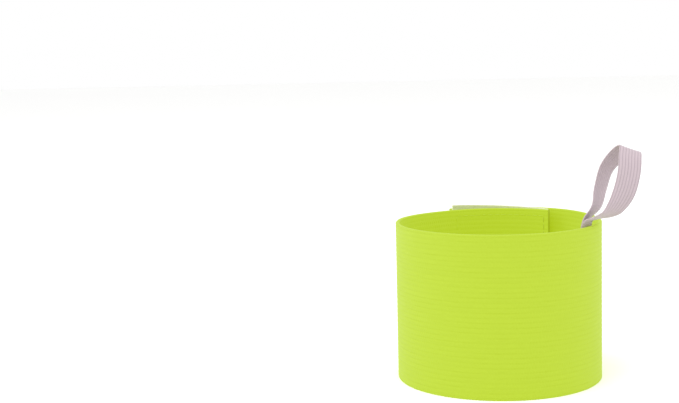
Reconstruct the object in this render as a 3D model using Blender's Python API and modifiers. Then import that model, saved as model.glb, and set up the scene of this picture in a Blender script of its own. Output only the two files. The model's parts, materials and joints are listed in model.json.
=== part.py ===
"""Sports wristband: a wide rubber-ribbed webbing closed on itself with hook and loop tape.

The band stands on its lower edge as a closed ring. The webbing is followed by its angle round the
ring, in degrees from the middle of the front: the right arm runs through positive angles to the
outer end, which carries the hook tape, and the left arm through negative angles to the inner end,
which carries the loop tape and the pull tape. Past one full turn the right arm lies outside the
left one. The webbing and the pull tape are cut into stiff lengths at hinge lines, so that the ring
can open into a flat strip.

Metres, +Z up. The origin is on the lower edge, mid-thickness, at the middle of the front.
"""

import math

import bmesh
import bpy
from mathutils import Matrix, Vector

# Webbing
BAND_WIDTH = 0.050
BAND_THICKNESS = 0.0013
RING_RADIUS = 0.03175  # to the middle of the webbing's thickness
OUTER_END = 207.0  # degrees
INNER_END = -216.3

# Stiff lengths, in degrees of ring
FIRST_HINGE = 19.4  # half of the front length
RIGHT_LENGTHS = 4
LEFT_LENGTHS = 5
FOLD_START = 162.0  # where the short fold starts that the end flap peels about
FLAP_FOLD = 172.0

# Where the two arms step apart to lie over one another, degrees either way from the front
STEP_START = 100.0
STEP_END = 145.0

# Hook and loop tapes
PAD_THICKNESS = 0.0005  # the woven base, without its hooks or pile
HOOK_DEPTH = 0.0015  # from one base to the other, filled by the engaged hooks and pile
LOOP_PAD_START = -151.8
LOOP_PAD_SKEW = 0.0015  # how far the loop tape is sewn above the webbing's edge at its seam
PAD_INSET = 1.9  # degrees from a tape's end to the webbing's end or fold

# Pull tape
TAPE_WIDTH = 0.0069
TAPE_THICKNESS = 0.0005
TAIL_LENGTH = 14.0  # degrees sewn down on the loop tape
TAIL_THICKNESS = 0.0009
RUN_THICKNESS = 0.0012  # both plies together
RUN_CLEARANCE = 0.0006
RUN_JOINT = 103.0  # degrees, on the right arm, where the run bends as the band opens
RUN_END = 62.5
RUN_DROP = 0.0027  # from the rim down to the middle of the run's end
RUN_RISE = BAND_WIDTH / 2 - RUN_DROP

# Sewing
THREAD_RADIUS = 0.0002
SEAM_MARGIN = 0.0022  # from the webbing's long edges to the stitches
SEAM_END_MARGIN = 0.0008  # from a tape's ends to the stitches
TACK_PLACE = 9.6  # degrees from the inner end to the middle of the bar tack
TACK_LENGTH = 0.0030
TACK_TURNS = 6

SEWN_GAP = 0.00025  # between faces that are sewn or laid together
CUT_GAP = 0.0003  # between one stiff length and the next
ARC_STEP = 2.5  # degrees between points along a curved strip

# Half the distance between the arms' middles where they lie over one another
STEP = (BAND_THICKNESS + 2 * (SEWN_GAP + PAD_THICKNESS) + HOOK_DEPTH) / 2
CENTRE = Vector((0, RING_RADIUS, 0))
RIGHT_PITCH = (FOLD_START - FIRST_HINGE) / RIGHT_LENGTHS
LEFT_PITCH = (FIRST_HINGE + INNER_END) / LEFT_LENGTHS  # negative, as the left arm's angles are
TAIL_END = INNER_END + 360  # the inner end, as an angle on the right arm

NEON = (0.62, 0.83, 0.05, 1)
PAD_WHITE = (0.62, 0.65, 0.55, 1)
TAPE_LILAC = (0.60, 0.55, 0.58, 1)
THREAD_OLIVE = (0.42, 0.52, 0.08, 1)


def clear_scene():
    for obj in list(bpy.data.objects):
        bpy.data.objects.remove(obj, do_unlink=True)


def material(name, colour, roughness):
    made = bpy.data.materials.new(name)
    made.use_nodes = True
    shader = made.node_tree.nodes["Principled BSDF"]
    shader.inputs["Base Color"].default_value = colour
    shader.inputs["Roughness"].default_value = roughness
    shader.inputs["Metallic"].default_value = 0
    return made


def band_radius(angle):
    """Radius of the webbing's middle: the right arm steps outwards, the left arm inwards."""
    share = min(max((abs(angle) - STEP_START) / (STEP_END - STEP_START), 0), 1)
    eased = share * share * (3 - 2 * share)
    return RING_RADIUS + math.copysign(STEP, angle) * eased


def on_ring(angle, radius, height):
    turn = math.radians(angle)
    return CENTRE + Vector((radius * math.sin(turn), -radius * math.cos(turn), height))


def angles_between(start, end):
    count = max(2, round(abs(end - start) / ARC_STEP))
    return [start + (end - start) * i / count for i in range(count + 1)]


def shaved(start, end, radius, gap=CUT_GAP):
    """The same stretch of ring with half a gap taken off each end."""
    cut = math.copysign(math.degrees(gap / 2 / radius), end - start)
    return start + cut, end - cut


def joint_empty(name, location, parent):
    empty = bpy.data.objects.new(name, None)
    empty.empty_display_size = 0.004
    empty.parent = parent
    origin = parent.get("place", (0, 0, 0)) if parent else (0, 0, 0)
    empty.location = location - Vector(origin)
    empty["place"] = list(location)
    collection.objects.link(empty)
    return empty


def hang(obj, joint):
    """Parents a piece to its joint, with the piece's origin on the joint."""
    place = Vector(joint["place"]) if joint else Vector((0, 0, 0))
    obj.data.transform(Matrix.Translation(-place))
    obj.parent = joint
    collection.objects.link(obj)
    return obj


def solidified(name, bm, thickness, side, surface, joint):
    bmesh.ops.recalc_face_normals(bm, faces=bm.faces)
    mesh = bpy.data.meshes.new(name)
    bm.to_mesh(mesh)
    bm.free()
    mesh.shade_smooth()
    mesh.set_sharp_from_angle(angle=math.radians(40))
    mesh.materials.append(surface)
    obj = bpy.data.objects.new(name, mesh)
    shell = obj.modifiers.new("thickness", "SOLIDIFY")
    shell.thickness = thickness
    shell.offset = side
    return hang(obj, joint)


def wall(name, start, end, radius_of, bottom_of, height, thickness, surface, joint):
    """An upright strip round the ring: its lower edge drawn along the ring, then extruded upwards."""
    bm = bmesh.new()
    points = [bm.verts.new(on_ring(a, radius_of(a), bottom_of(a))) for a in angles_between(start, end)]
    edges = [bm.edges.new(pair) for pair in zip(points, points[1:])]
    raised = bmesh.ops.extrude_edge_only(bm, edges=edges)["geom"]
    bmesh.ops.translate(bm, vec=(0, 0, height), verts=[v for v in raised if isinstance(v, bmesh.types.BMVert)])
    return solidified(name, bm, thickness, 0, surface, joint)


def ribbon(name, path, width, thickness, surface, joint):
    """A narrow tape lofted along a path of (middle, direction across) pairs."""
    bm = bmesh.new()
    rails = []
    for middle, across in path:
        reach = across.normalized() * width / 2
        rails.append((bm.verts.new(middle - reach), bm.verts.new(middle + reach)))
    for (low, high), (next_low, next_high) in zip(rails, rails[1:]):
        bm.faces.new((low, high, next_high, next_low))
    return solidified(name, bm, thickness, 0, surface, joint)


def thread(name, points, cyclic, joint):
    """A row of stitches as one thin round line."""
    curve = bpy.data.curves.new(name, "CURVE")
    curve.dimensions = "3D"
    curve.bevel_depth = THREAD_RADIUS
    curve.bevel_resolution = 1
    curve.use_fill_caps = True
    curve.materials.append(thread_surface)
    spline = curve.splines.new("POLY")
    spline.points.add(len(points) - 1)
    for point, at in zip(spline.points, points):
        point.co = (*at, 1)
    spline.use_cyclic_u = cyclic
    return hang(bpy.data.objects.new(name, curve), joint)


def on_edge(angle):
    return 0


# Hinge lines. Each lies on the outermost face there, so that nothing closes up as the band opens.


def outer_face(angle):
    return band_radius(angle) + BAND_THICKNESS / 2


def loop_pad_radius(angle):
    """Middle of the loop tape, on the left arm's outer face."""
    return outer_face(angle) + SEWN_GAP + PAD_THICKNESS / 2


def hook_pad_radius(angle):
    """Middle of the hook tape, on the right arm's inner face."""
    return band_radius(angle) - BAND_THICKNESS / 2 - SEWN_GAP - PAD_THICKNESS / 2


def loop_pad_bottom(angle):
    share = (angle - INNER_END) / (LOOP_PAD_START - INNER_END)
    return LOOP_PAD_SKEW * share


def run_radius(angle):
    """Middle of the pull tape's two plies, inside the right arm."""
    return band_radius(angle) - BAND_THICKNESS / 2 - RUN_CLEARANCE - RUN_THICKNESS / 2


def run_turn():
    """(turn in radians, radius) of the arc that the pull tape makes up the wall, unrolled."""
    along = math.radians(TAIL_END - RUN_END) * run_radius(RUN_END)
    turn = 2 * math.atan(RUN_RISE / along)
    return turn, along / math.sin(turn)


def run_point(angle):
    """(middle, direction across) of the pull tape where it climbs the inside of the right arm."""
    turn, bend = run_turn()
    along = math.radians(TAIL_END - angle) * run_radius(RUN_END)
    climb = math.asin(min(along / bend, 1))
    height = BAND_WIDTH / 2 + bend * (1 - math.cos(climb))
    tangent = Vector((math.cos(math.radians(angle)), math.sin(math.radians(angle)), 0))
    across = tangent * math.sin(climb) + Vector((0, 0, math.cos(climb)))
    return on_ring(angle, run_radius(angle), height), across


# The open eye of the pull loop, chosen by hand: (middle, direction across), up the near limb, over
# the top and down the far limb. Middles are millimetres from the middle of the run's end.
EYE = [
    ((0.2, -1.1, 3.8), (0.48, 0.83, -0.01)),
    ((2.4, -1.6, 5.0), (0.45, 0.86, -0.11)),
    ((6.0, -2.7, 6.4), (0.55, 0.78, -0.28)),
    ((8.5, -3.4, 8.8), (0.70, 0.52, -0.48)),
    ((10.9, -3.5, 13.3), (0.93, 0.14, -0.24)),
    ((12.3, -3.1, 18.7), (0.98, 0.08, -0.08)),
    ((12.8, -1.6, 23.3), (0.97, 0.05, -0.14)),
    ((13.0, 2.0, 25.6), (0.92, 0.12, -0.34)),
    ((10.2, 5.6, 23.7), (0.82, 0.48, -0.31)),
    ((6.7, 6.6, 19.4), (0.66, 0.70, -0.28)),
    ((4.8, 5.8, 13.7), (0.60, 0.77, -0.22)),
    ((3.2, 3.2, 8.6), (0.50, 0.86, -0.10)),
    ((0.4, 1.4, 4.5), (0.42, 0.88, 0.20)),
]
EYE_ROOT = 0.0004  # from the end of the run on to the eye's two plies
EYE_STEPS = 4  # points added between each pair


def smooth_path(knots, steps, start):
    """A Catmull-Rom curve through (middle, across) knots, with middles in mm from the start."""
    found = []
    for i in range(len(knots) - 1):
        four = [knots[max(i - 1, 0)], knots[i], knots[i + 1], knots[min(i + 2, len(knots) - 1)]]
        for s in range(steps + (i == len(knots) - 2)):
            t = s / steps
            weights = (
                (-t + 2 * t**2 - t**3) / 2,
                (2 - 5 * t**2 + 3 * t**3) / 2,
                (t + 4 * t**2 - 3 * t**3) / 2,
                (-(t**2) + t**3) / 2,
            )
            pair = [sum((Vector(k[n]) * w for k, w in zip(four, weights)), Vector()) for n in (0, 1)]
            found.append((start + pair[0] / 1000, pair[1]))
    return found


clear_scene()
collection = bpy.data.collections.new("wristband")
bpy.context.scene.collection.children.link(collection)
webbing = material("neon_webbing", NEON, 0.75)
loop_surface = material("loop_tape", PAD_WHITE, 0.8)
hook_surface = material("hook_tape", PAD_WHITE, 0.6)
tape_surface = material("pull_tape", TAPE_LILAC, 0.7)
thread_surface = material("sewing_thread", THREAD_OLIVE, 0.6)


def webbing_length(name, start, end, joint):
    start, end = shaved(start, end, RING_RADIUS)
    return wall(name, start, end, band_radius, on_edge, BAND_WIDTH, BAND_THICKNESS, webbing, joint)


webbing_length("band_front", -FIRST_HINGE, FIRST_HINGE, None)

# Right arm: four lengths, the short fold, then the end flap with the hook tape.
joint = None
for i in range(RIGHT_LENGTHS):
    start = FIRST_HINGE + i * RIGHT_PITCH
    joint = joint_empty(f"bend_right_{i + 1}", on_ring(start, outer_face(start), 0), joint)
    webbing_length(f"band_right_{i + 1}", start, start + RIGHT_PITCH, joint)
joint = joint_empty("bend_fold", on_ring(FOLD_START, outer_face(FOLD_START), 0), joint)
webbing_length("flap_fold", FOLD_START, FLAP_FOLD, joint)
flap = joint_empty("closure_peel", on_ring(FLAP_FOLD, outer_face(FLAP_FOLD), 0), joint)
webbing_length("end_flap", FLAP_FOLD, OUTER_END, flap)
wall(
    "hook_pad",
    FLAP_FOLD + PAD_INSET,
    OUTER_END - PAD_INSET,
    hook_pad_radius,
    on_edge,
    BAND_WIDTH,
    PAD_THICKNESS,
    hook_surface,
    flap,
)

# Left arm: five lengths. The loop tape is on the last two, cut at the hinge between them.
joint = None
left_joints = []
for i in range(LEFT_LENGTHS):
    start = -FIRST_HINGE + i * LEFT_PITCH
    under_pad = start < LOOP_PAD_START
    face = loop_pad_radius(start) + PAD_THICKNESS / 2 if under_pad else outer_face(start)
    joint = joint_empty(f"bend_left_{i + 1}", on_ring(start, face, 0), joint)
    left_joints.append(joint)
    webbing_length(f"band_left_{i + 1}", start, start + LEFT_PITCH, joint)

pad_split = INNER_END - LEFT_PITCH
pad_joints = left_joints[-2:]
pad_ends = (LOOP_PAD_START, pad_split, INNER_END + PAD_INSET)
for i in range(2):
    start, end = shaved(pad_ends[i], pad_ends[i + 1], RING_RADIUS)
    wall(
        f"loop_pad_{i + 1}",
        start,
        end,
        loop_pad_radius,
        loop_pad_bottom,
        BAND_WIDTH,
        PAD_THICKNESS,
        loop_surface,
        pad_joints[i],
    )

# Sewing: each tape is stitched down all round, and the thread shows on the webbing's other face.


def seam_point(angle, radius, edge, margin=SEAM_MARGIN):
    """A stitch line's point at the lower edge (0) or the upper edge (1) of the webbing."""
    height = margin + edge * (BAND_WIDTH - 2 * margin)
    return on_ring(angle, radius, height)


def seam_row(start, end, radius_of, edge):
    return [seam_point(a, radius_of(a), edge) for a in angles_between(start, end)]


def inside_thread(angle):
    return band_radius(angle) - BAND_THICKNESS / 2 - SEWN_GAP - THREAD_RADIUS


def outside_thread(angle):
    return outer_face(angle) + SEWN_GAP + THREAD_RADIUS


margin_angle = math.degrees(SEAM_END_MARGIN / RING_RADIUS)
seam_ends = (LOOP_PAD_START - margin_angle, INNER_END + PAD_INSET + margin_angle)
for i, far in enumerate(seam_ends):
    near, _ = shaved(pad_split, far, RING_RADIUS)
    row = seam_row(near, far, inside_thread, 0) + seam_row(far, near, inside_thread, 1)
    thread(f"loop_pad_stitching_{i + 1}", row, False, pad_joints[i])
near, far = FLAP_FOLD + PAD_INSET + margin_angle, OUTER_END - PAD_INSET - margin_angle
row = seam_row(near, far, outside_thread, 0) + seam_row(far, near, outside_thread, 1)
thread("hook_pad_stitching", row, True, flap)

# Pull tape: its two ends lie on the loop tape at the inner end, held by a bar tack.
tail_radius = loop_pad_radius(INNER_END) + PAD_THICKNESS / 2 + SEWN_GAP + TAIL_THICKNESS / 2
tail = [
    (on_ring(a, tail_radius, BAND_WIDTH / 2), Vector((0, 0, 1)))
    for a in angles_between(TAIL_END + TAIL_LENGTH, TAIL_END)
]
ribbon("pull_tape_tail", tail, TAPE_WIDTH, TAIL_THICKNESS, tape_surface, left_joints[-1])

tack_angle = TAIL_END + TACK_PLACE
tack_reach = math.degrees(TACK_LENGTH / 2 / RING_RADIUS)
tack = []
for i in range(2 * TACK_TURNS + 1):
    angle = tack_angle + tack_reach * (i / TACK_TURNS - 1)
    height = BAND_WIDTH / 2 + (i % 2 - 0.5) * TAPE_WIDTH * 0.8
    tack.append(on_ring(angle, inside_thread(-angle), height))
thread("pull_tape_bar_tack", tack, False, left_joints[-1])

run_angles = (TAIL_END, RUN_JOINT, RUN_END)
joint = left_joints[-1]
for i in range(2):
    start, end = shaved(run_angles[i], run_angles[i + 1], RING_RADIUS)
    hinge = on_ring(run_angles[i], run_radius(run_angles[i]) + RUN_THICKNESS / 2, 0)
    joint = joint_empty(f"bend_tape_{i + 1}", hinge, joint)
    path = [run_point(a) for a in angles_between(start, end)]
    ribbon(f"pull_tape_run_{i + 1}", path, TAPE_WIDTH, RUN_THICKNESS, tape_surface, joint)

eye_middle, eye_axis = run_point(RUN_END)
outwards = ((eye_middle - CENTRE) * Vector((1, 1, 0))).normalized()
onwards = outwards.cross(eye_axis)
joint = joint_empty("pull_loop_swing", eye_middle - outwards * RUN_THICKNESS / 2, joint)
ply = outwards * (TAPE_THICKNESS + SEWN_GAP) / 2
near, far = [((onwards * EYE_ROOT + side * ply) * 1000, eye_axis) for side in (1, -1)]
path = smooth_path([near, *EYE, far], EYE_STEPS, eye_middle)
ribbon("pull_tape_loop", path, TAPE_WIDTH, TAPE_THICKNESS, tape_surface, joint)
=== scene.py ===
"""The looks of a sports wristband: ribbed neon webbing, hook and loop tape, a pull tape and its sewing.

Metres, +Z up, in the frame of the CAD model. The ring's axis is vertical, and places on the band are
given by their angle round it, in degrees from the middle of the front, positive towards +X.
"""

import json
import math

import bmesh
import bpy
from mathutils import Matrix, Vector, noise


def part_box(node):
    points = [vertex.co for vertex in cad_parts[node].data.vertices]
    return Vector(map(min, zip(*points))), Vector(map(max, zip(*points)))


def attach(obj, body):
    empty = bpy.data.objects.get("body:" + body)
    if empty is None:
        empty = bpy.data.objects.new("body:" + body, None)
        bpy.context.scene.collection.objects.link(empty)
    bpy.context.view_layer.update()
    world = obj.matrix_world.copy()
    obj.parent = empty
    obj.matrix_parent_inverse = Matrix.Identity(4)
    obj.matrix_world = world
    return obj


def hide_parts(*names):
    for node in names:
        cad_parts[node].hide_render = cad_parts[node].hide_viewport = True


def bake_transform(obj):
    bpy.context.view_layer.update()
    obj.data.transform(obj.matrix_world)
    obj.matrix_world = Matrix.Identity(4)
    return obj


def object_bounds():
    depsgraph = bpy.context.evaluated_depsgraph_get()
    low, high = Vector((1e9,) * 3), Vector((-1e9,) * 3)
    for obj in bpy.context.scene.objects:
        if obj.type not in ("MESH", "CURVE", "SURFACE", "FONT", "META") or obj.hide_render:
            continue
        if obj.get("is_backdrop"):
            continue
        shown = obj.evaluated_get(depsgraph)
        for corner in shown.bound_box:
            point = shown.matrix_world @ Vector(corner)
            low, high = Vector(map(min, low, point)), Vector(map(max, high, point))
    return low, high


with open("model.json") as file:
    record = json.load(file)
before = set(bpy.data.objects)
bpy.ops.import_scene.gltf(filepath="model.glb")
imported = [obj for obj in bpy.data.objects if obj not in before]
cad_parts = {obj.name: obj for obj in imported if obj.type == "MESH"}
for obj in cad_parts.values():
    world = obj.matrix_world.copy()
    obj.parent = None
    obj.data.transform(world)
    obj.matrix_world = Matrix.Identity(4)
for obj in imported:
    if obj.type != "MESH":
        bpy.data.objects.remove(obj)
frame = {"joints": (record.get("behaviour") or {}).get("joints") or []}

cad_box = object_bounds()


# Camera. A long lens a little above the band's top edge, looking slightly down and turned a little,
# which puts the band low and to the right in its view.

CAMERA_PLACE = Vector((-0.0102, -0.3880, 0.1079))
CAMERA_YAW, CAMERA_PITCH, CAMERA_ROLL = -5.45, -6.94, -1.41  # degrees

camera = bpy.data.objects.new("camera", bpy.data.cameras.new("camera"))
camera.data.lens = 70.4
camera.data.clip_start = 0.01
yaw, pitch, roll = (math.radians(a) for a in (CAMERA_YAW, CAMERA_PITCH, CAMERA_ROLL))
turned = Matrix.Rotation(-yaw, 4, "Z") @ Matrix.Rotation(math.pi / 2 + pitch, 4, "X")
camera.matrix_world = Matrix.Translation(CAMERA_PLACE) @ turned @ Matrix.Rotation(roll, 4, "Z")
bpy.context.scene.collection.objects.link(camera)
bpy.context.scene.camera = camera
bpy.context.scene.view_settings.view_transform = "Standard"  # keeps the dye's strong colour


# Studio. A flat sheet of white paper in a white room, under broad soft lamps, brighter from the left,
# which leave almost no shadow.


def linear(hexes):
    """An sRGB hex colour as linear RGBA."""
    parts = [int(hexes[i : i + 2], 16) / 255 for i in (0, 2, 4)]
    return (*[p / 12.92 if p <= 0.04045 else ((p + 0.055) / 1.055) ** 2.4 for p in parts], 1)


def add_node(tree, kind, settings=(), **inputs):
    """Adds a node. An input given as a socket is linked, and any other value is set."""
    made = tree.nodes.new(kind)
    for name, value in dict(settings).items():
        setattr(made, name, value)
    for name, value in inputs.items():
        key = int(name[1:]) if name[0] == "i" and name[1:].isdigit() else name.replace("_", " ")
        if isinstance(value, bpy.types.NodeSocket):
            tree.links.new(value, made.inputs[key])
        else:
            made.inputs[key].default_value = value
    return made


def new_material(name, **inputs):
    """A Principled material, with values for the shader's own sockets."""
    made = bpy.data.materials.new(name)
    made.use_nodes = True
    shader = made.node_tree.nodes["Principled BSDF"]
    for socket, value in inputs.items():
        shader.inputs[socket.replace("_", " ")].default_value = value
    return made, made.node_tree, shader


FLOOR_SIZE = 6.0

floor_mesh = bmesh.new()
bmesh.ops.create_grid(floor_mesh, x_segments=1, y_segments=1, size=FLOOR_SIZE / 2)
floor = bpy.data.objects.new("floor", bpy.data.meshes.new("floor"))
floor_mesh.to_mesh(floor.data)
floor_mesh.free()
bpy.context.scene.collection.objects.link(floor)
paper, _, _ = new_material("white_studio_paper", Base_Color=linear("fcfcfb"), Roughness=0.9)
floor.data.materials.append(paper)
floor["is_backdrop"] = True

world = bpy.data.worlds.new("studio")
world.use_nodes = True
world.node_tree.nodes["Background"].inputs["Color"].default_value = (1, 1, 1, 1)
world.node_tree.nodes["Background"].inputs["Strength"].default_value = 1.0
bpy.context.scene.world = world

MIDDLE = Vector((0, 0.03, 0.03))
# name, direction from the band, distance, size, watts
LAMPS = [
    ("lamp_left", (-1.0, 0.0, 0.6), 0.9, 0.7, 3.0),
    ("lamp_right", (1.0, 0.1, 0.6), 0.9, 0.7, 1.8),
    ("lamp_over", (-0.15, -0.55, 0.9), 1.0, 0.8, 4.2),
]
for name, direction, distance, size, watts in LAMPS:
    lamp = bpy.data.objects.new(name, bpy.data.lights.new(name, "AREA"))
    lamp.data.size = size
    lamp.data.energy = watts
    lamp.location = MIDDLE + Vector(direction).normalized() * distance
    lamp.rotation_euler = (lamp.location - MIDDLE).to_track_quat("Z", "Y").to_euler()
    bpy.context.scene.collection.objects.link(lamp)


# Webbing. Knitted-in rubber cords run along the band and pull it into ribs, and the edges are woven
# into a firm bead. It is one strip, woven in dyed polyester, cut to length with a hot knife. Here it
# is made in lengths, one to each hinge, cut mostly half way from one hinge to the next.

MM = 0.001
RIBS = 32
RIB_DEPTH = 0.08 * MM
# One rib's outline: (share of its pitch, share of its depth)
RIB_SHAPE = [(0.0, 1.0), (0.12, 0.62), (0.3, 0.12), (0.5, 0.0), (0.7, 0.12), (0.88, 0.62)]
EDGE_BEAD = 0.7 * MM  # height of the firm edge
PICK_PITCH = 0.9  # mm between weft picks, coarser than the real 0.5 mm so that they show
ARC_STEP = 1.5  # degrees between cross-sections
STEP_START, STEP_END = 100.0, 145.0  # where each arm steps in or out to overlap
OUTER_END, INNER_END = 207.0, -216.3  # where the webbing's two ends lie, past each other at the back
LOOP_TAPE_START = -151.8  # where the loop tape begins

hinges = {joint["name"]: Vector(joint["pos_m"]) for joint in frame["joints"]}
(_, lowest_y, _), (_, _, band_width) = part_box("band_front")
band_thickness = -2 * lowest_y
ring_radius = -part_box("band_left_2")[0][0] - band_thickness / 2
centre = Vector((0, ring_radius, 0))
overlap_step = (hinges["uncurl_fold"] - centre).to_2d().length - band_thickness / 2 - ring_radius


def hinge_angle(joint, arm):
    """A hinge's angle on the right (1) or left (-1) arm, past 180 degrees where the arms overlap."""
    place = hinges[joint] - centre
    angle = math.degrees(math.atan2(place.x, -place.y))
    return angle if angle * arm > 0 else angle + 360 * arm


def band_radius(angle):
    """Radius of the middle of the webbing's thickness."""
    share = min(max((abs(angle) - STEP_START) / (STEP_END - STEP_START), 0), 1)
    return ring_radius + math.copysign(overlap_step, angle) * share * share * (3 - 2 * share)


def on_ring(angle, radius, height=0.0):
    turn = math.radians(angle)
    return centre + Vector((radius * math.sin(turn), -radius * math.cos(turn), height))


def ring_frame(angle, offset=0.0):
    """Axes on the webbing's middle: X outwards, Y along the band and Z up."""
    turn = Matrix.Rotation(math.radians(angle - 90), 4, "Z")
    return Matrix.Translation(on_ring(angle, band_radius(angle) + offset)) @ turn


def angles(start, end, step=ARC_STEP):
    count = max(2, math.ceil(abs(end - start) / step))
    return [start + (end - start) * i / count for i in range(count + 1)]


def sweep(bm, profile, frames):
    """Extrudes a closed outline, given in its own X and Z, from each set of axes to the next.

    The UV map is in millimetres: U along the sweep, V the outline's own Z.
    """
    along = bm.verts.layers.float.get("along") or bm.verts.layers.float.new("along")
    across = bm.verts.layers.float.get("across") or bm.verts.layers.float.new("across")
    loop = [bm.verts.new(frames[0] @ Vector((x, 0, z))) for x, z in profile]
    for vert, (_, z) in zip(loop, profile):
        vert[across] = z / MM
    edges = [bm.edges.new((a, b)) for a, b in zip(loop, loop[1:] + loop[:1])]
    ends = [bm.faces.new(loop)]
    distance = 0
    for before, after in zip(frames, frames[1:]):
        made = bmesh.ops.extrude_edge_only(bm, edges=edges)["geom"]
        verts = [v for v in made if isinstance(v, bmesh.types.BMVert)]
        bmesh.ops.transform(bm, matrix=after @ before.inverted(), verts=verts)
        distance += (after.translation - before.translation).length / MM
        for vert in verts:
            vert[along] = distance
        inside = set(verts)
        edges = [e for e in made if isinstance(e, bmesh.types.BMEdge) and inside.issuperset(e.verts)]
    ends += bmesh.ops.edgeloop_fill(bm, edges=edges)["faces"]
    return ends


def finish_mesh(name, bm, material, uv_start=0.0, smooth=50):
    """Turns the faces outwards, writes the UV map and makes the object."""
    bmesh.ops.recalc_face_normals(bm, faces=bm.faces)
    along, across = (bm.verts.layers.float.get(n) for n in ("along", "across"))
    if along:
        uv_map = bm.loops.layers.uv.new("along_and_across")
        for face in bm.faces:
            for corner in face.loops:
                corner[uv_map].uv = (uv_start + corner.vert[along], corner.vert[across])
    made = bpy.data.objects.new(name, bpy.data.meshes.new(name))
    bm.to_mesh(made.data)
    bm.free()
    for attribute in ("along", "across"):
        if attribute in made.data.attributes:
            made.data.attributes.remove(made.data.attributes[attribute])
    made.data.shade_smooth()
    made.data.set_sharp_from_angle(angle=math.radians(smooth))
    made.data.materials.append(material)
    bpy.context.scene.collection.objects.link(made)
    return made


def webbing_profile():
    """Ribs up the outer face and down the inner one, closed round a bead at each edge."""
    half = band_thickness / 2
    pitch = (band_width - 2 * EDGE_BEAD) / RIBS
    face = []
    for rib in range(RIBS):
        for share, depth in RIB_SHAPE:
            face.append((half - RIB_DEPTH * depth, EDGE_BEAD + (rib + share) * pitch))
    face.append((half - RIB_DEPTH, band_width - EDGE_BEAD))
    bead = [(half, 0.74), (half * 0.92, 0.36), (half * 0.62, 0.1), (half * 0.2, 0.0)]
    bead = [(x, EDGE_BEAD * z) for x, z in bead]
    low = [(x, z) for x, z in reversed(bead)]
    high = [(x, band_width - z) for x, z in bead]
    outer = low + face + high
    return outer + [(-x, z) for x, z in reversed(outer)]


def elastic_webbing():
    """Woven elastic, fluorescent polyester over rubber cords: matt, with fine picks across each rib, painted
    shade in the rib grooves and a glow that is partly fluorescence and partly painted light.
    """
    # Painted light: the emission is partly the dye's fluorescence and partly a painted glow that lifts the
    # shaded inside of the ring.
    made, tree, shader = new_material(
        "woven_elastic_painted_glow_and_shade",
        Roughness=0.85,
        Specular_IOR_Level=0.3,
        Sheen_Weight=0.08,
        Sheen_Roughness=0.5,
        Emission_Color=linear("ddf81d"),
        Emission_Strength=0.5,
    )
    uv = add_node(tree, "ShaderNodeUVMap", {"uv_map": "along_and_across"})
    place = add_node(tree, "ShaderNodeSeparateXYZ", Vector=uv.outputs["UV"])
    pitch = (band_width - 2 * EDGE_BEAD) / RIBS / MM
    # The picks are half a step on in each rib.
    row = add_node(tree, "ShaderNodeMath", {"operation": "DIVIDE"}, i0=place.outputs["Y"], i1=pitch)
    row_number = add_node(tree, "ShaderNodeMath", {"operation": "FLOOR"}, i0=row.outputs[0])
    shift = add_node(
        tree, "ShaderNodeMath", {"operation": "MULTIPLY_ADD"}, i0=row_number.outputs[0], i1=PICK_PITCH / 2
    )
    tree.links.new(place.outputs["X"], shift.inputs[2])
    turns = add_node(
        tree, "ShaderNodeMath", {"operation": "MULTIPLY"}, i0=shift.outputs[0], i1=2 * math.pi / PICK_PITCH
    )
    picks = add_node(tree, "ShaderNodeMath", {"operation": "SINE"}, i0=turns.outputs[0])
    rib_turns = add_node(
        tree, "ShaderNodeMath", {"operation": "MULTIPLY"}, i0=place.outputs["Y"], i1=2 * math.pi / pitch
    )
    first_rib = 2 * math.pi * EDGE_BEAD / MM / pitch
    rib_phase = add_node(
        tree, "ShaderNodeMath", {"operation": "SUBTRACT"}, i0=rib_turns.outputs[0], i1=first_rib
    )
    rib_wave = add_node(tree, "ShaderNodeMath", {"operation": "COSINE"}, i0=rib_phase.outputs[0])
    # Stretched knit never lies quite even: long streaks along the ribs, about 12 mm by 1.5 mm.
    streak_scale = add_node(tree, "ShaderNodeMapping", Vector=uv.outputs["UV"], Scale=(0.08, 0.65, 1))
    streaks = add_node(
        tree, "ShaderNodeTexNoise", Vector=streak_scale.outputs[0], Scale=1.0, Detail=3.0, Roughness=0.6
    )
    # Painted shade: the rib grooves are darkened in the base colour, more deeply along the streaks.
    groove_shade = add_node(
        tree,
        "ShaderNodeMapRange",
        Value=rib_wave.outputs[0],
        From_Min=0.35,
        From_Max=1.0,
        To_Min=0.0,
        To_Max=1.0,
    )
    uneven = add_node(
        tree,
        "ShaderNodeMapRange",
        Value=streaks.outputs[0],
        From_Min=0.38,
        From_Max=0.7,
        To_Min=0.0,
        To_Max=0.7,
    )
    dark = add_node(
        tree, "ShaderNodeMath", {"operation": "MULTIPLY"}, i0=groove_shade.outputs[0], i1=uneven.outputs[0]
    )
    dye = add_node(
        tree,
        "ShaderNodeMix",
        {"data_type": "RGBA"},
        i0=streaks.outputs[0],
        i6=linear("5f6f28"),
        i7=linear("6b7c2c"),
    )
    ribbed = add_node(tree, "ShaderNodeMix", {"data_type": "RGBA"}, i0=dark.outputs[0], i7=linear("54631c"))
    tree.links.new(dye.outputs[2], ribbed.inputs[6])
    tree.links.new(ribbed.outputs[2], shader.inputs["Base Color"])
    fuzz = add_node(tree, "ShaderNodeTexNoise", Vector=uv.outputs["UV"], Scale=3.2, Detail=4.0)
    height = add_node(tree, "ShaderNodeMath", {"operation": "MULTIPLY_ADD"}, i0=picks.outputs[0], i1=0.35)
    tree.links.new(fuzz.outputs[0], height.inputs[2])
    bump = add_node(tree, "ShaderNodeBump", Height=height.outputs[0], Strength=0.5, Distance=0.08 * MM)
    tree.links.new(bump.outputs[0], shader.inputs["Normal"])
    return made


webbing_painted_glow_and_shade = elastic_webbing()
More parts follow.
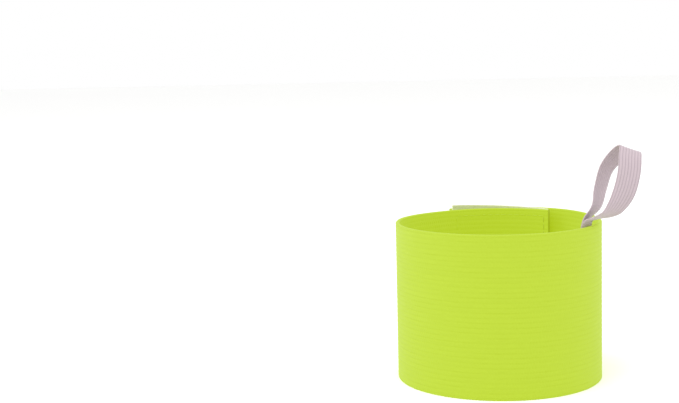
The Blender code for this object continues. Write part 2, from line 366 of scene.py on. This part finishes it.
# The cut ends, sealed by the hot knife: denser and duller than the weave, a thin darker line to the eye.
# The darkness is partly the seal and partly painted shade in the gap at the webbing's end, and the glow
# is partly fluorescence and partly painted light, as on the webbing.
cut_end_painted_shade, _, _ = new_material(
    "hot_cut_end_painted_shade",
    Base_Color=linear("66731d"),
    Roughness=0.5,
    Emission_Color=linear("d0e41d"),
    Emission_Strength=0.38,
)
profile = webbing_profile()


def midpoints(bends, arm):
    """Where an arm is cut: at the middle of the front, then half way from each hinge to the next."""
    places = [hinge_angle(joint, arm) for joint, _, _ in bends]
    return [0.0] + [(a + b) / 2 for a, b in zip(places, places[1:])]


RIGHT_BENDS = [("band_uncurl", "front", "right_1")]
RIGHT_BENDS += [(f"uncurl_right_{i}", f"right_{i - 1}", f"right_{i}") for i in (2, 3, 4)]
RIGHT_BENDS += [("uncurl_fold", "right_4", "fold"), ("closure_peel", "fold", "flap")]
LEFT_BENDS = [("uncurl_left_1", "front", "left_1")]
LEFT_BENDS += [(f"uncurl_left_{i}", f"left_{i - 1}", f"left_{i}") for i in (2, 3, 4, 5)]
NODE_OF = {"fold": "flap_fold", "flap": "end_flap"}
LAST_CUT_MARGIN = 0.3  # degrees between the left arm's last cut and the loop tape's end

right_cuts = midpoints(RIGHT_BENDS, 1) + [OUTER_END]
left_cuts = midpoints(LEFT_BENDS, -1)[:-1] + [LOOP_TAPE_START + LAST_CUT_MARGIN, INNER_END]


def bend_with(piece):
    """Bakes a piece's placement into its mesh."""
    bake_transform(piece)


for bends, cuts, arm in ((RIGHT_BENDS, right_cuts, 1), (LEFT_BENDS, left_cuts, -1)):
    for (joint, before, after), start, end in zip(bends, cuts, cuts[1:]):
        strip = bmesh.new()
        for face in sweep(strip, profile, [ring_frame(a) for a in angles(start, end)]):
            face.material_index = 1
        uv_start = math.radians(start) * arm * ring_radius / MM
        length = finish_mesh(f"webbing_{after}", strip, webbing_painted_glow_and_shade, uv_start)
        length.data.materials.append(cut_end_painted_shade)
        bend_with(length)
        nodes = [NODE_OF.get(after, f"band_{after}")] + (["band_front"] if joint == "band_uncurl" else [])
        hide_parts(*nodes)


# Loop tape. A knitted nylon backing with a brushed pile of fine loops on its outer face, cut as wide
# as the webbing and sewn to it a little askew, so that its seam end stands above the top edge.

SEWN_GAP = 0.12 * MM
TAPE_BASE = 0.5 * MM
PILE_HEIGHT = 0.85 * MM
PILE_CORNER = 0.22 * MM
PILE_ROWS, PILE_STEP = 100, 0.75  # faces across the tape, and degrees between cross-sections
TUFT_SIZE, TUFT_DEPTH = 0.9 * MM, 0.12 * MM  # the uneven nap
CRUSHED_EDGE = 1.6 * MM  # how far the seam flattens the pile at the tape's ends
CRUSHED_SHARE = 0.85  # of the pile's height that is lost at the very end
TAPE_INSET = 1.9  # degrees from a tape's end to the webbing's
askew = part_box("loop_pad_1")[1][2] - band_width


def rounded_outline(inner, outer, low, high, corner, rows):
    """A flat tape's outline, with rounded corners and points up each face for the pile to move."""
    turns = [math.radians(a) for a in (0, 30, 60, 90)]
    x_in, x_out = inner + corner, outer - corner
    heights = [low + corner + (high - low - 2 * corner) * i / rows for i in range(rows + 1)]
    points = [(x_out + corner * math.sin(t), low + corner - corner * math.cos(t)) for t in turns]
    points += [(outer, z) for z in heights[1:-1]]
    points += [(x_out + corner * math.cos(t), high - corner + corner * math.sin(t)) for t in turns]
    points += [(x_in - corner * math.sin(t), high - corner + corner * math.cos(t)) for t in turns]
    points += [(inner, z) for z in reversed(heights[1:-1])]
    points += [(x_in - corner * math.cos(t), low + corner - corner * math.sin(t)) for t in turns]
    return points


def brushed_nylon():
    """Loop pile, pale grey-green nylon, brushed: soft and matt with a mottled nap."""
    made, tree, shader = new_material(
        "brushed_nylon_pile", Roughness=0.9, Sheen_Weight=0.5, Sheen_Roughness=0.4
    )
    uv = add_node(tree, "ShaderNodeUVMap", {"uv_map": "along_and_across"})
    nap = add_node(
        tree, "ShaderNodeTexNoise", Vector=uv.outputs["UV"], Scale=0.35, Detail=5.0, Roughness=0.65
    )
    mottle = add_node(
        tree,
        "ShaderNodeMix",
        {"data_type": "RGBA"},
        i0=nap.outputs[0],
        i6=linear("babf92"),
        i7=linear("c8cca6"),
    )
    tree.links.new(mottle.outputs[2], shader.inputs["Base Color"])
    loops = add_node(tree, "ShaderNodeTexVoronoi", Vector=uv.outputs["UV"], Scale=1.8)  # loops 0.55 mm apart
    fibres = add_node(tree, "ShaderNodeTexNoise", Vector=uv.outputs["UV"], Scale=6.0, Detail=3.0)
    height = add_node(
        tree, "ShaderNodeMath", {"operation": "ADD"}, i0=loops.outputs["Distance"], i1=fibres.outputs[0]
    )
    bump = add_node(tree, "ShaderNodeBump", Height=height.outputs[0], Strength=0.6, Distance=0.15 * MM)
    tree.links.new(bump.outputs[0], shader.inputs["Normal"])
    return made


pile_finish = brushed_nylon()
face = band_thickness / 2 + SEWN_GAP
tape_span = (LOOP_TAPE_START, INNER_END + TAPE_INSET)
outline = rounded_outline(face, face + TAPE_BASE + PILE_HEIGHT, 0, band_width, PILE_CORNER, PILE_ROWS)
frames = []
for angle in angles(*tape_span, PILE_STEP):
    lift = askew * (angle - tape_span[1]) / (tape_span[0] - tape_span[1])
    frames.append(Matrix.Translation((0, 0, lift)) @ ring_frame(angle))
strip = bmesh.new()
sweep(strip, outline, frames)
for vert in strip.verts:
    place = vert.co - centre
    angle = math.degrees(math.atan2(place.x, -place.y))
    angle -= 360 if angle > 0 else 0
    pile = place.to_2d().length - band_radius(angle) - face - TAPE_BASE
    if pile > 0:
        outwards = Vector((place.x, place.y, 0)).normalized()
        to_end = math.radians(min(tape_span[0] - angle, angle - tape_span[1])) * ring_radius
        crushed = 1 - min(max(to_end / CRUSHED_EDGE, 0), 1)
        rough = noise.fractal(vert.co / TUFT_SIZE, 1.0, 2.0, 3) * TUFT_DEPTH
        vert.co += outwards * (rough * (1 - crushed) - CRUSHED_SHARE * pile * crushed**2)
loop_tape = finish_mesh("loop_tape", strip, pile_finish)
bend_with(loop_tape)
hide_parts("loop_pad_1", "loop_pad_2")


# Hook tape. A woven nylon base with rows of tiny bent monofilament hooks on its inner face, sewn
# under the outer end.

HOOK_PITCH = 1.1 * MM
HOOK_HEIGHT = 1.05 * MM
HOOK_WIDTH = 0.2 * MM
HOOK_BENDS = [(0, 0), (0.5, 0.02), (0.85, 0.12), (1.0, 0.35), (0.85, 0.58), (0.62, 0.62)]  # rise, lean
ROOT_DEPTH = 0.05 * MM  # how far a hook's foot is set into the base
BASE_CORNER, BASE_ROWS = 0.15 * MM, 24
PEEL_HINGE = hinge_angle("closure_peel", 1)


def moulded_nylon():
    """Hook tape, white nylon monofilament and ground weave: a slight gloss on the hooks."""
    made, tree, shader = new_material("nylon_monofilament", Roughness=0.45, IOR=1.53)
    place = add_node(tree, "ShaderNodeTexCoord")
    patch = add_node(tree, "ShaderNodeTexNoise", Vector=place.outputs["Object"], Scale=900.0, Detail=2.0)
    mottle = add_node(
        tree,
        "ShaderNodeMix",
        {"data_type": "RGBA"},
        i0=patch.outputs[0],
        i6=linear("cfd2c0"),
        i7=linear("dfe1d6"),
    )
    tree.links.new(mottle.outputs[2], shader.inputs["Base Color"])
    bump = add_node(tree, "ShaderNodeBump", Height=patch.outputs[0], Strength=0.4, Distance=0.05 * MM)
    tree.links.new(bump.outputs[0], shader.inputs["Normal"])
    return made


hook_finish = moulded_nylon()
hook_span = (PEEL_HINGE + TAPE_INSET, OUTER_END - TAPE_INSET)
strip = bmesh.new()
back = -band_thickness / 2 - SEWN_GAP
outline = rounded_outline(back - TAPE_BASE, back, 0, band_width, BASE_CORNER, BASE_ROWS)
sweep(strip, outline, [ring_frame(a) for a in angles(*hook_span)])
hook_radius = band_radius(OUTER_END) + back - TAPE_BASE
pitch_angle = math.degrees(HOOK_PITCH / hook_radius)
columns = int((hook_span[1] - hook_span[0]) / pitch_angle / 2) - 1
rows = int(band_width / HOOK_PITCH) - 2
hooks = bmesh.new()
# Two hooks, repeated in both directions. The second leans back, one column on and half a row up.
for lean in (1, -1):
    angle = hook_span[0] + (1.5 + (lean < 0)) * pitch_angle
    height = (1.5 + 0.5 * (lean < 0)) * HOOK_PITCH
    axes = ring_frame(angle, back - TAPE_BASE + ROOT_DEPTH) @ Matrix.Translation((0, 0, height))
    foot = axes @ Matrix.Rotation(-math.pi / 2, 4, "Y")
    stem = bmesh.ops.create_grid(hooks, x_segments=1, y_segments=1, size=HOOK_WIDTH / 2, matrix=foot)
    top = stem["verts"][0].link_faces[0]
    for before, after in zip(HOOK_BENDS, HOOK_BENDS[1:]):
        top = bmesh.ops.extrude_discrete_faces(hooks, faces=[top])["faces"][0]
        rise, sideways = after[0] - before[0], after[1] - before[1]
        shift = axes.to_3x3() @ Vector((-rise, lean * sideways, 0)) * HOOK_HEIGHT
        bmesh.ops.translate(hooks, vec=shift, verts=top.verts)
bmesh.ops.spin(
    hooks,
    geom=hooks.verts[:] + hooks.edges[:] + hooks.faces[:],
    cent=centre,
    axis=(0, 0, 1),
    dvec=(0, 0, HOOK_PITCH),
    angle=0,
    steps=rows - 1,
    use_duplicate=True,
)
bmesh.ops.spin(
    hooks,
    geom=hooks.verts[:] + hooks.edges[:] + hooks.faces[:],
    cent=centre,
    axis=(0, 0, 1),
    angle=math.radians(2 * pitch_angle * (columns - 1)),
    steps=columns - 1,
    use_duplicate=True,
)
hook_rows = bpy.data.meshes.new("hook_rows")
hooks.to_mesh(hook_rows)
hooks.free()
strip.from_mesh(hook_rows)
hook_tape = finish_mesh("hook_tape", strip, hook_finish, smooth=35)
bend_with(hook_tape)
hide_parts("hook_pad")


# Pull tape. Narrow elastic braid with fine cords along it, folded double. Both ends are sewn down on
# the loop tape, the two plies run together up the inside of the band, and the fold stands open as an
# eye over the top edge.

TAPE_THICKNESS = 0.46 * MM
PLY_OFFSET = 0.27 * MM  # from the middle of the two plies to each
TAPE_CORDS = 7
CORD_DEPTH = 0.07 * MM
BRAID_EDGE = 0.25 * MM  # smooth selvedge beside the outermost cords
EDGE_ROUNDING = 0.1 * MM
BRAID_PICK_PITCH = 0.6  # mm
RUN_INSET = 1.2 * MM  # from the webbing's inner face to the middle of the two plies
TAIL_PROUD = 2.55 * MM  # from the left arm's middle to the middle of the sewn plies
TAIL_LENGTH = 14.0  # degrees
TAIL_RAMP = 6.0  # degrees over which the tape comes off the loop tape and down to the wall
RUN_END = 62.5  # where the plies part to form the eye
RUN_DROP = 2.7 * MM  # from the webbing's top edge to the tape's middle at the run's end
RUN_CUTS = (125.0, 83.0)  # where the sewn root, the run and the loop meet
RUN_STEP, LOOP_STEP = 3.0, 4.0  # degrees between knots
RUN_STEPS, EYE_STEPS = 3, 6  # cross-sections from one knot to the next
# The open eye: (middle in millimetres from the run's end, direction across the tape)
EYE = [
    ((0.2, -1.1, 3.8), (0.48, 0.83, -0.01)),
    ((2.4, -1.6, 5.0), (0.45, 0.86, -0.11)),
    ((6.0, -2.7, 6.4), (0.55, 0.78, -0.28)),
    ((8.5, -3.4, 8.8), (0.70, 0.52, -0.48)),
    ((10.9, -3.5, 13.3), (0.93, 0.14, -0.24)),
    ((12.3, -3.1, 18.7), (0.98, 0.08, -0.08)),
    ((12.8, -1.6, 23.3), (0.97, 0.05, -0.14)),
    ((13.0, 2.0, 25.6), (0.92, 0.12, -0.34)),
    ((10.2, 5.6, 23.7), (0.82, 0.48, -0.31)),
    ((6.7, 6.6, 19.4), (0.66, 0.70, -0.28)),
    ((4.8, 5.8, 13.7), (0.60, 0.77, -0.22)),
    ((3.2, 3.2, 8.6), (0.50, 0.86, -0.10)),
    ((0.4, 1.4, 4.5), (0.42, 0.88, 0.20)),
]
(_, _, tail_low), (_, _, tail_high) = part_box("pull_tape_tail")
tape_width = tail_high - tail_low
run_rise = band_width / 2 - RUN_DROP
tail_angle = INNER_END + 360


def run_middle(angle):
    return band_radius(angle) - band_thickness / 2 - RUN_INSET


def run_knot(angle, ply):
    """(middle, direction across) of one ply, where the tape climbs in an arc up the wall."""
    length = math.radians(tail_angle - RUN_END) * run_middle(RUN_END)
    bend = length / math.sin(2 * math.atan(run_rise / length))
    climb = math.asin(min(max(math.radians(tail_angle - angle), 0) * run_middle(RUN_END) / bend, 1))
    height = band_width / 2 + bend * (1 - math.cos(climb))
    on_tail = min(max((angle - tail_angle + TAIL_RAMP / 2) / TAIL_RAMP, 0), 1)
    tail_radius = band_radius(-tail_angle) + TAIL_PROUD
    radius = run_middle(angle) + (tail_radius - run_middle(angle)) * on_tail + ply * PLY_OFFSET
    turn = math.radians(angle)
    across = Vector((math.cos(turn) * math.sin(climb), math.sin(turn) * math.sin(climb), math.cos(climb)))
    return on_ring(angle, radius, height), across


def smooth_frames(knots, steps):
    """Axes along a Catmull-Rom curve through the knots: X off the tape's face, Y along, Z across."""
    points = []
    for i in range(len(knots) - 1):
        four = [knots[max(i - 1, 0)], knots[i], knots[i + 1], knots[min(i + 2, len(knots) - 1)]]
        for s in range(steps + (i == len(knots) - 2)):
            t = s / steps
            shares = (
                (-t + 2 * t**2 - t**3) / 2,
                (2 - 5 * t**2 + 3 * t**3) / 2,
                (t + 4 * t**2 - 3 * t**3) / 2,
                (-(t**2) + t**3) / 2,
            )
            points.append([sum((k[n] * w for k, w in zip(four, shares)), Vector((0, 0, 0))) for n in (0, 1)])
    found = []
    for i, (middle, across) in enumerate(points):
        ahead, behind = points[min(i + 1, len(points) - 1)][0], points[max(i - 1, 0)][0]
        along = (ahead - behind).normalized()
        across = (across - along * across.dot(along)).normalized()
        axes = Matrix((along.cross(across), along, across)).transposed().to_4x4()
        found.append(Matrix.Translation(middle) @ axes)
    return found


def braid_profile():
    """A flat oval with a cord under each rib of both faces."""
    half, edge = TAPE_THICKNESS / 2, tape_width / 2 - BRAID_EDGE
    pitch = 2 * edge / TAPE_CORDS
    rounding = [(half * 0.25, tape_width / 2), (half * 0.8, tape_width / 2 - EDGE_ROUNDING)]
    face = [(x, -z) for x, z in rounding]
    for cord in range(TAPE_CORDS):
        for share, depth in ((0.0, 1.0), (0.25, 0.25), (0.5, 0.0), (0.75, 0.25)):
            face.append((half - CORD_DEPTH * depth, -edge + (cord + share) * pitch))
    face += [(half - CORD_DEPTH, edge), *reversed(rounding)]
    return face + [(-x, z) for x, z in reversed(face)]


def braided_elastic():
    """Narrow braided elastic, white nylon with a faint lilac cast: cords along it with painted shade between
    them, and fine picks.
    """
    made, tree, shader = new_material(
        "braided_narrow_elastic", Roughness=0.7, Sheen_Weight=0.3, Sheen_Roughness=0.4
    )
    uv = add_node(tree, "ShaderNodeUVMap", {"uv_map": "along_and_across"})
    place = add_node(tree, "ShaderNodeSeparateXYZ", Vector=uv.outputs["UV"])
    pitch = (tape_width - 2 * BRAID_EDGE) / TAPE_CORDS / MM
    turns = add_node(
        tree, "ShaderNodeMath", {"operation": "MULTIPLY"}, i0=place.outputs["Y"], i1=2 * math.pi / pitch
    )
    shifted = add_node(
        tree, "ShaderNodeMath", {"operation": "ADD"}, i0=turns.outputs[0], i1=math.pi * TAPE_CORDS
    )
    wave = add_node(tree, "ShaderNodeMath", {"operation": "COSINE"}, i0=shifted.outputs[0])
    # Painted shade: the grooves between the cords are darkened in the base colour.
    groove_shade = add_node(
        tree,
        "ShaderNodeMapRange",
        Value=wave.outputs[0],
        From_Min=0.2,
        From_Max=1.0,
        To_Min=0.0,
        To_Max=0.75,
    )
    colours = add_node(
        tree,
        "ShaderNodeMix",
        {"data_type": "RGBA"},
        i0=groove_shade.outputs[0],
        i6=linear("b3a4aa"),
        i7=linear("97888f"),
    )
    tree.links.new(colours.outputs[2], shader.inputs["Base Color"])
    pick_turns = add_node(
        tree,
        "ShaderNodeMath",
        {"operation": "MULTIPLY"},
        i0=place.outputs["X"],
        i1=2 * math.pi / BRAID_PICK_PITCH,
    )
    picks = add_node(tree, "ShaderNodeMath", {"operation": "SINE"}, i0=pick_turns.outputs[0])
    fuzz = add_node(tree, "ShaderNodeTexNoise", Vector=uv.outputs["UV"], Scale=5.0, Detail=3.0)
    height = add_node(tree, "ShaderNodeMath", {"operation": "MULTIPLY_ADD"}, i0=picks.outputs[0], i1=0.4)
    tree.links.new(fuzz.outputs[0], height.inputs[2])
    bump = add_node(tree, "ShaderNodeBump", Height=height.outputs[0], Strength=0.5, Distance=0.05 * MM)
    tree.links.new(bump.outputs[0], shader.inputs["Normal"])
    return made


braid_finish = braided_elastic()
braid = braid_profile()


tail_nodes = ("pull_tape_tail", "pull_tape_run_1")
for name, start, end, before, after, nodes in (
    ("pull_tape_root", tail_angle + TAIL_LENGTH, RUN_CUTS[0], "left_5", "tape_1", tail_nodes),
    ("pull_tape_run", RUN_CUTS[0], RUN_CUTS[1], "tape_1", "tape_2", ("pull_tape_run_2",)),
):
    plies = bmesh.new()
    for ply in (-1, 1):
        knots = [run_knot(a, ply) for a in angles(start, end, RUN_STEP)]
        sweep(plies, braid, smooth_frames(knots, RUN_STEPS))
    tape = finish_mesh(name, plies, braid_finish)
    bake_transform(tape)
    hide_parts(*nodes)

run_end = run_knot(RUN_END, 0)[0]
eye_knots = [(run_end + Vector(middle) * MM, Vector(across)) for middle, across in EYE]
near = [run_knot(a, 1) for a in angles(RUN_CUTS[1], RUN_END, LOOP_STEP)]
far = [run_knot(a, -1) for a in angles(RUN_END, RUN_CUTS[1], LOOP_STEP)]
plies = bmesh.new()
sweep(plies, braid, smooth_frames(near + eye_knots + far, EYE_STEPS))
pull_loop = finish_mesh("pull_loop", plies, braid_finish)
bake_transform(pull_loop)
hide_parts("pull_tape_loop")


# Sewing. Lockstitch in a thread dyed like the webbing goes round each tape, and shows on the tape and
# on the webbing's other face, with a darker thread in the row along the webbing's cut end, dark partly
# for the needle holes and partly as painted shade. The dyed threads glow partly by fluorescence and
# partly by painted light. A bar tack of close zigzag stitches holds the pull tape's ends.

STITCH_PITCH = 2.4 * MM
STITCH_LENGTH = 2.1 * MM
THREAD_WIDTH = 0.34 * MM
SEAM_MARGIN = 2.2 * MM  # from the webbing's long edges
SEAM_END_MARGIN = 0.8 * MM  # from a tape's ends
TACK_PLACE = 9.6  # degrees from the inner end
TACK_STITCHES = 15
TACK_LENGTH, TACK_HEIGHT = 3.0 * MM, 5.4 * MM
TACK_THREAD_WIDTH = THREAD_WIDTH * 0.9
PILE_SINK = 0.1 * MM  # how far the stitches pull into the pile


def twisted_thread(name, colour, dark, glow):
    """Polyester sewing thread: two plies twisted. The dyed ones glow as the webbing does, partly by
    fluorescence and partly by painted light that lifts them out of the shade.
    """
    made, tree, shader = new_material(
        name, Roughness=0.6, Emission_Color=linear("ddf81d"), Emission_Strength=glow
    )
    place = add_node(tree, "ShaderNodeTexCoord")
    twist = add_node(
        tree,
        "ShaderNodeTexWave",
        {"bands_direction": "DIAGONAL"},
        Vector=place.outputs["Object"],
        Scale=1400.0,
    )
    colours = add_node(
        tree, "ShaderNodeMix", {"data_type": "RGBA"}, i0=twist.outputs[1], i6=linear(dark), i7=linear(colour)
    )
    tree.links.new(colours.outputs[2], shader.inputs["Base Color"])
    bump = add_node(tree, "ShaderNodeBump", Height=twist.outputs[1], Strength=0.4, Distance=0.04 * MM)
    tree.links.new(bump.outputs[0], shader.inputs["Normal"])
    return made


def add_stitch(bm, axes, length, turn, width=THREAD_WIDTH):
    """One stitch, lying along the band's own up direction after a turn in degrees."""
    size = Matrix.Diagonal((width / 2, width / 2, length / 2, 1))
    turned = axes @ Matrix.Rotation(math.radians(turn), 4, "X")
    bmesh.ops.create_uvsphere(bm, u_segments=8, v_segments=6, radius=1, matrix=turned @ size)


def sew_round(bm, span, offset, lift=0.0, free_end=None):
    """A rectangle of stitches, at an offset outwards from the webbing's middle.

    The row along the webbing's own end goes to another mesh, for its darker thread, which is partly the
    needle holes and partly painted shade in the gap at the end.
    """
    margin = math.degrees(SEAM_END_MARGIN / ring_radius)
    turn = math.copysign(margin, span[1] - span[0])
    first, last = span[0] + turn, span[1] - turn
    low, high = SEAM_MARGIN, band_width - SEAM_MARGIN
    length = math.radians(abs(last - first)) * ring_radius
    along, across = round(length / STITCH_PITCH), round((high - low) / STITCH_PITCH)
    for i in range(along):
        angle = first + (last - first) * (i + 0.5) / along
        for height in (low, high):
            axes = ring_frame(angle, offset) @ Matrix.Translation((0, 0, height + lift))
            add_stitch(bm, axes, STITCH_LENGTH, 90)
    for i in range(across):
        height = low + (high - low) * (i + 0.5) / across
        for angle in (first, last):
            axes = ring_frame(angle, offset) @ Matrix.Translation((0, 0, height + lift))
            add_stitch(free_end if angle == last else bm, axes, STITCH_LENGTH, 0)


# Painted light: the dyed threads' emission is partly fluorescence and partly a painted glow.
neon_thread = twisted_thread("neon_polyester_thread", "687828", "5f6f28", 0.47)
# Painted shade: the end row's thread is darker partly for the needle holes and partly for shade at the cut
# end.
olive_thread = twisted_thread("olive_polyester_thread", "606e24", "55641c", 0.4)
white_thread = twisted_thread("white_polyester_thread", "dcd8e6", "b9b3c6", 0.0)

outer_face, inner_face = band_thickness / 2, -band_thickness / 2
pile_face = outer_face + SEWN_GAP + TAPE_BASE + PILE_HEIGHT - PILE_SINK
hook_base = inner_face - SEWN_GAP - TAPE_BASE
loop_stitching = ["loop_pad_stitching_1", "loop_pad_stitching_2"]
for name, span, faces, body, nodes in (
    ("loop_tape", tape_span, (inner_face, pile_face), "left_5", loop_stitching),
    ("hook_tape", hook_span, (outer_face, hook_base), "flap", ["hook_pad_stitching"]),
):
    seam, end_row = bmesh.new(), bmesh.new()
    for offset in faces:
        sew_round(seam, span, offset, askew / 2 if offset == pile_face else 0.0, end_row)
    for made in (
        finish_mesh(f"{name}_seam", seam, neon_thread, smooth=180),
        finish_mesh(f"{name}_end_row", end_row, olive_thread, smooth=180),
    ):
        bend_with(made)
        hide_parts(*nodes)

tack = bmesh.new()
reach = math.degrees(TACK_LENGTH / 2 / ring_radius)
slant = math.degrees(math.atan(TACK_LENGTH / TACK_STITCHES / TACK_HEIGHT))
for i in range(TACK_STITCHES):
    angle = tail_angle + TACK_PLACE + reach * (2 * i / (TACK_STITCHES - 1) - 1)
    for offset in (inner_face, TAIL_PROUD + PLY_OFFSET + TAPE_THICKNESS / 2):
        axes = ring_frame(angle - 360, offset) @ Matrix.Translation((0, 0, band_width / 2))
        add_stitch(tack, axes, TACK_HEIGHT, slant if i % 2 else -slant, TACK_THREAD_WIDTH)
bar_tack = finish_mesh("bar_tack", tack, white_thread, smooth=180)
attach(bar_tack, "left_5")
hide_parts("pull_tape_bar_tack")


size = {"cad": [list(corner) for corner in cad_box], "visual": [list(corner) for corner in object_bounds()]}
